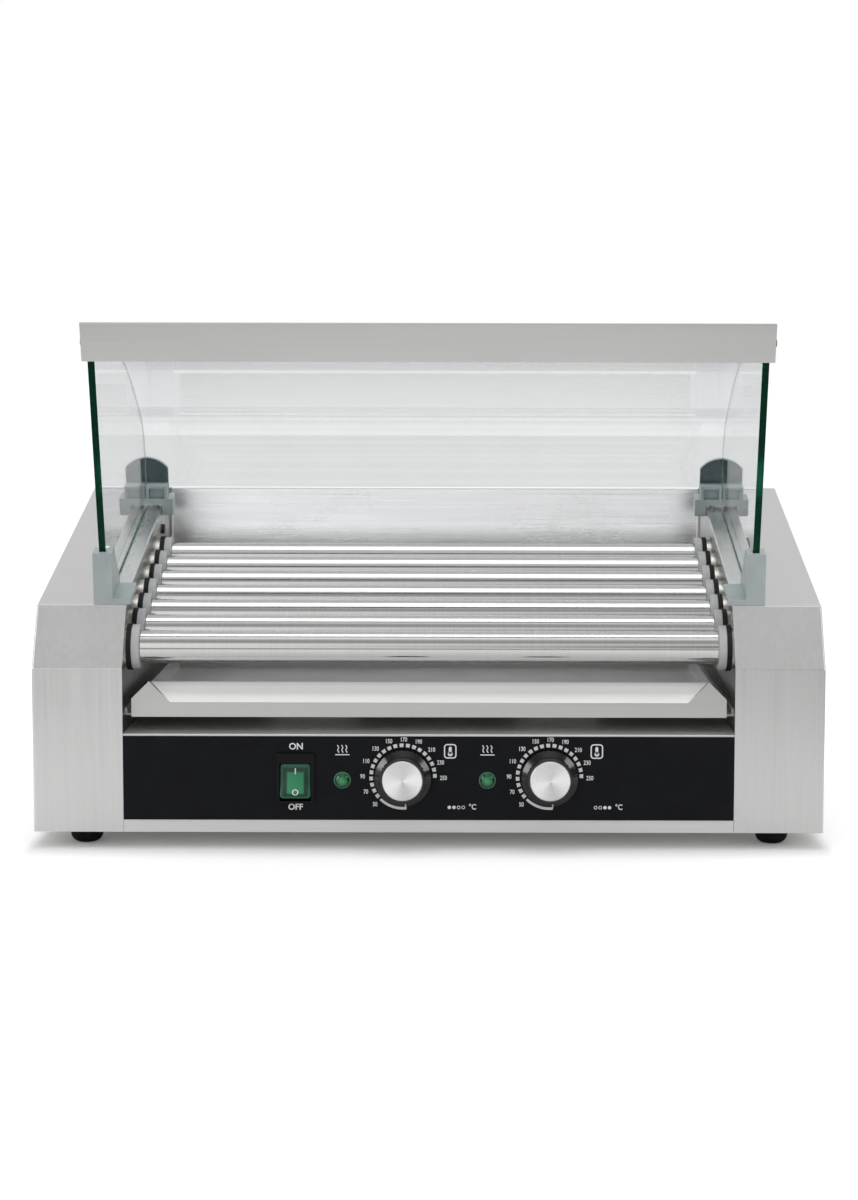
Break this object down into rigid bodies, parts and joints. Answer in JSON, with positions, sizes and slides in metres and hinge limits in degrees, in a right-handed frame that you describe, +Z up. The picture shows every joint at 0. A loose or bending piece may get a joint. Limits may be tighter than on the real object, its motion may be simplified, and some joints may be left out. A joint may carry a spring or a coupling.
{
  "type": "hot dog roller grill",
  "caption": "Tabletop roller grill: driven heated rollers on a sloping deck, lift-off curved glass hood, pull-out drip tray, and a front panel with thermostat knobs, lamps and a rocker switch.",
  "frame": {"origin": "on the floor under the centre of the whole object's bounding box", "axes": "+X to the right seen from the front, +Y to the back, +Z up"},
  "size_m": [0.58, 0.3634, 0.3838],
  "materials": {
    "stainless": "brushed",
    "roller_steel": "polished",
    "tray_steel": "bright rolled",
    "overlay_black": "satin",
    "knob_black": "gloss",
    "spun_aluminium": "spun",
    "green_lens": "clear gloss",
    "clear_glass": "polished edges",
    "grey_plastic": "satin",
    "ring_plastic": "satin",
    "seal_rubber": "matt",
    "foot_rubber": "matt",
    "bush_metal": "machined",
    "heater_sheath": "heat dulled",
    "chain_steel": "oiled",
    "motor_case": "plated",
    "switch_black": "satin",
    "terminal_white": "matt",
    "screw_black": "blackened",
    "thermostat_case": "plated"
  },
  "bodies": {
    "chassis": {"right_housing": "stainless", "left_housing": "stainless", "base_pan": "stainless", "right_side_plate": "stainless", "left_side_plate": "stainless", "front_panel": "stainless", "shield": "stainless", "back_panel": "stainless", "control_overlay": "overlay_black", "cable_gland": "switch_black", "roller_bushes": "bush_metal", "roller_seals": "seal_rubber", "end_rings": "ring_plastic", "heating_rods": "heater_sheath", "heater_bracket": "stainless", "roller_chain": "chain_steel", "motor_chain": "chain_steel", "gear_motor": "motor_case", "front_thermostat": "thermostat_case", "back_thermostat": "thermostat_case", "front_lamp": "green_lens", "back_lamp": "green_lens", "switch_box": "switch_black", "terminal_block": "terminal_white", "tray_runners": "stainless", "right_front_post": "grey_plastic", "left_front_post": "grey_plastic", "right_rear_saddle": "grey_plastic", "left_rear_saddle": "grey_plastic", "rubber_feet": "foot_rubber", "body_screws": "screw_black"},
    "roller_1_body": {"roller_1": "roller_steel", "sprocket_1": "chain_steel"},
    "roller_2_body": {"roller_2": "roller_steel", "sprocket_2": "chain_steel"},
    "roller_3_body": {"roller_3": "roller_steel", "sprocket_3": "chain_steel"},
    "roller_4_body": {"roller_4": "roller_steel", "sprocket_4": "chain_steel"},
    "roller_5_body": {"roller_5": "roller_steel", "sprocket_5": "chain_steel"},
    "roller_6_body": {"roller_6": "roller_steel", "sprocket_6": "chain_steel"},
    "roller_7_body": {"roller_7": "roller_steel", "sprocket_7": "chain_steel"},
    "motor_body": {"motor_sprocket": "chain_steel"},
    "tray_body": {"drip_tray": "tray_steel"},
    "front_knob_body": {"front_knob": "knob_black", "front_knob_cap": "spun_aluminium", "front_spindle": "thermostat_case"},
    "back_knob_body": {"back_knob": "knob_black", "back_knob_cap": "spun_aluminium", "back_spindle": "thermostat_case"},
    "rocker_body": {"switch_rocker": "green_lens"},
    "hood_body": {"left_pane": "clear_glass", "right_pane": "clear_glass", "back_pane": "clear_glass", "top_bar": "stainless", "bar_screws": "screw_black"}
  },
  "joints": [
    {"name": "roller_1_spin", "type": "hinge", "parent": "chassis", "child": "roller_1_body", "pos_m": [0, -0.12428, 0.14568], "axis": [1, 0, 0], "continuous": true},
    {"name": "roller_2_spin", "type": "hinge", "parent": "chassis", "child": "roller_2_body", "pos_m": [0, -0.09029, 0.15403], "axis": [1, 0, 0], "continuous": true},
    {"name": "roller_3_spin", "type": "hinge", "parent": "chassis", "child": "roller_3_body", "pos_m": [0, -0.0563, 0.16238], "axis": [1, 0, 0], "continuous": true},
    {"name": "roller_4_spin", "type": "hinge", "parent": "chassis", "child": "roller_4_body", "pos_m": [0, -0.02231, 0.17073], "axis": [1, 0, 0], "continuous": true},
    {"name": "roller_5_spin", "type": "hinge", "parent": "chassis", "child": "roller_5_body", "pos_m": [0, 0.01168, 0.17908], "axis": [1, 0, 0], "continuous": true},
    {"name": "roller_6_spin", "type": "hinge", "parent": "chassis", "child": "roller_6_body", "pos_m": [0, 0.04567, 0.18742], "axis": [1, 0, 0], "continuous": true},
    {"name": "roller_7_spin", "type": "hinge", "parent": "chassis", "child": "roller_7_body", "pos_m": [0, 0.07966, 0.19577], "axis": [1, 0, 0], "continuous": true},
    {"name": "motor_spin", "type": "hinge", "parent": "chassis", "child": "motor_body", "pos_m": [0.2481, -0.02231, 0.09473], "axis": [1, 0, 0], "continuous": true},
    {"name": "tray_slide", "type": "slide", "parent": "chassis", "child": "tray_body", "axis": [0, -1, 0], "range_m": [0, 0.26]},
    {"name": "front_knob_turn", "type": "hinge", "parent": "chassis", "child": "front_knob_body", "pos_m": [-0.0188, -0.15411, 0.0534], "axis": [0, 1, 0], "range_deg": [0, 278]},
    {"name": "back_knob_turn", "type": "hinge", "parent": "chassis", "child": "back_knob_body", "pos_m": [0.0885, -0.15411, 0.0534], "axis": [0, 1, 0], "range_deg": [0, 278]},
    {"name": "rocker_tip", "type": "hinge", "parent": "chassis", "child": "rocker_body", "pos_m": [-0.0976, -0.15171, 0.0496], "axis": [1, 0, 0], "range_deg": [0, 20]},
    {"name": "hood_lift", "type": "slide", "parent": "chassis", "child": "hood_body", "axis": [0, -0.2385, 0.9711], "range_m": [0, 0.06]}
  ],
  "couplings": [
    {"joint": "roller_1_spin", "follows": "roller_4_spin", "ratio": 1},
    {"joint": "roller_2_spin", "follows": "roller_4_spin", "ratio": 1},
    {"joint": "roller_3_spin", "follows": "roller_4_spin", "ratio": 1},
    {"joint": "roller_5_spin", "follows": "roller_4_spin", "ratio": 1},
    {"joint": "roller_6_spin", "follows": "roller_4_spin", "ratio": 1},
    {"joint": "roller_7_spin", "follows": "roller_4_spin", "ratio": 1},
    {"joint": "motor_spin", "follows": "roller_4_spin", "ratio": 1}
  ]
}
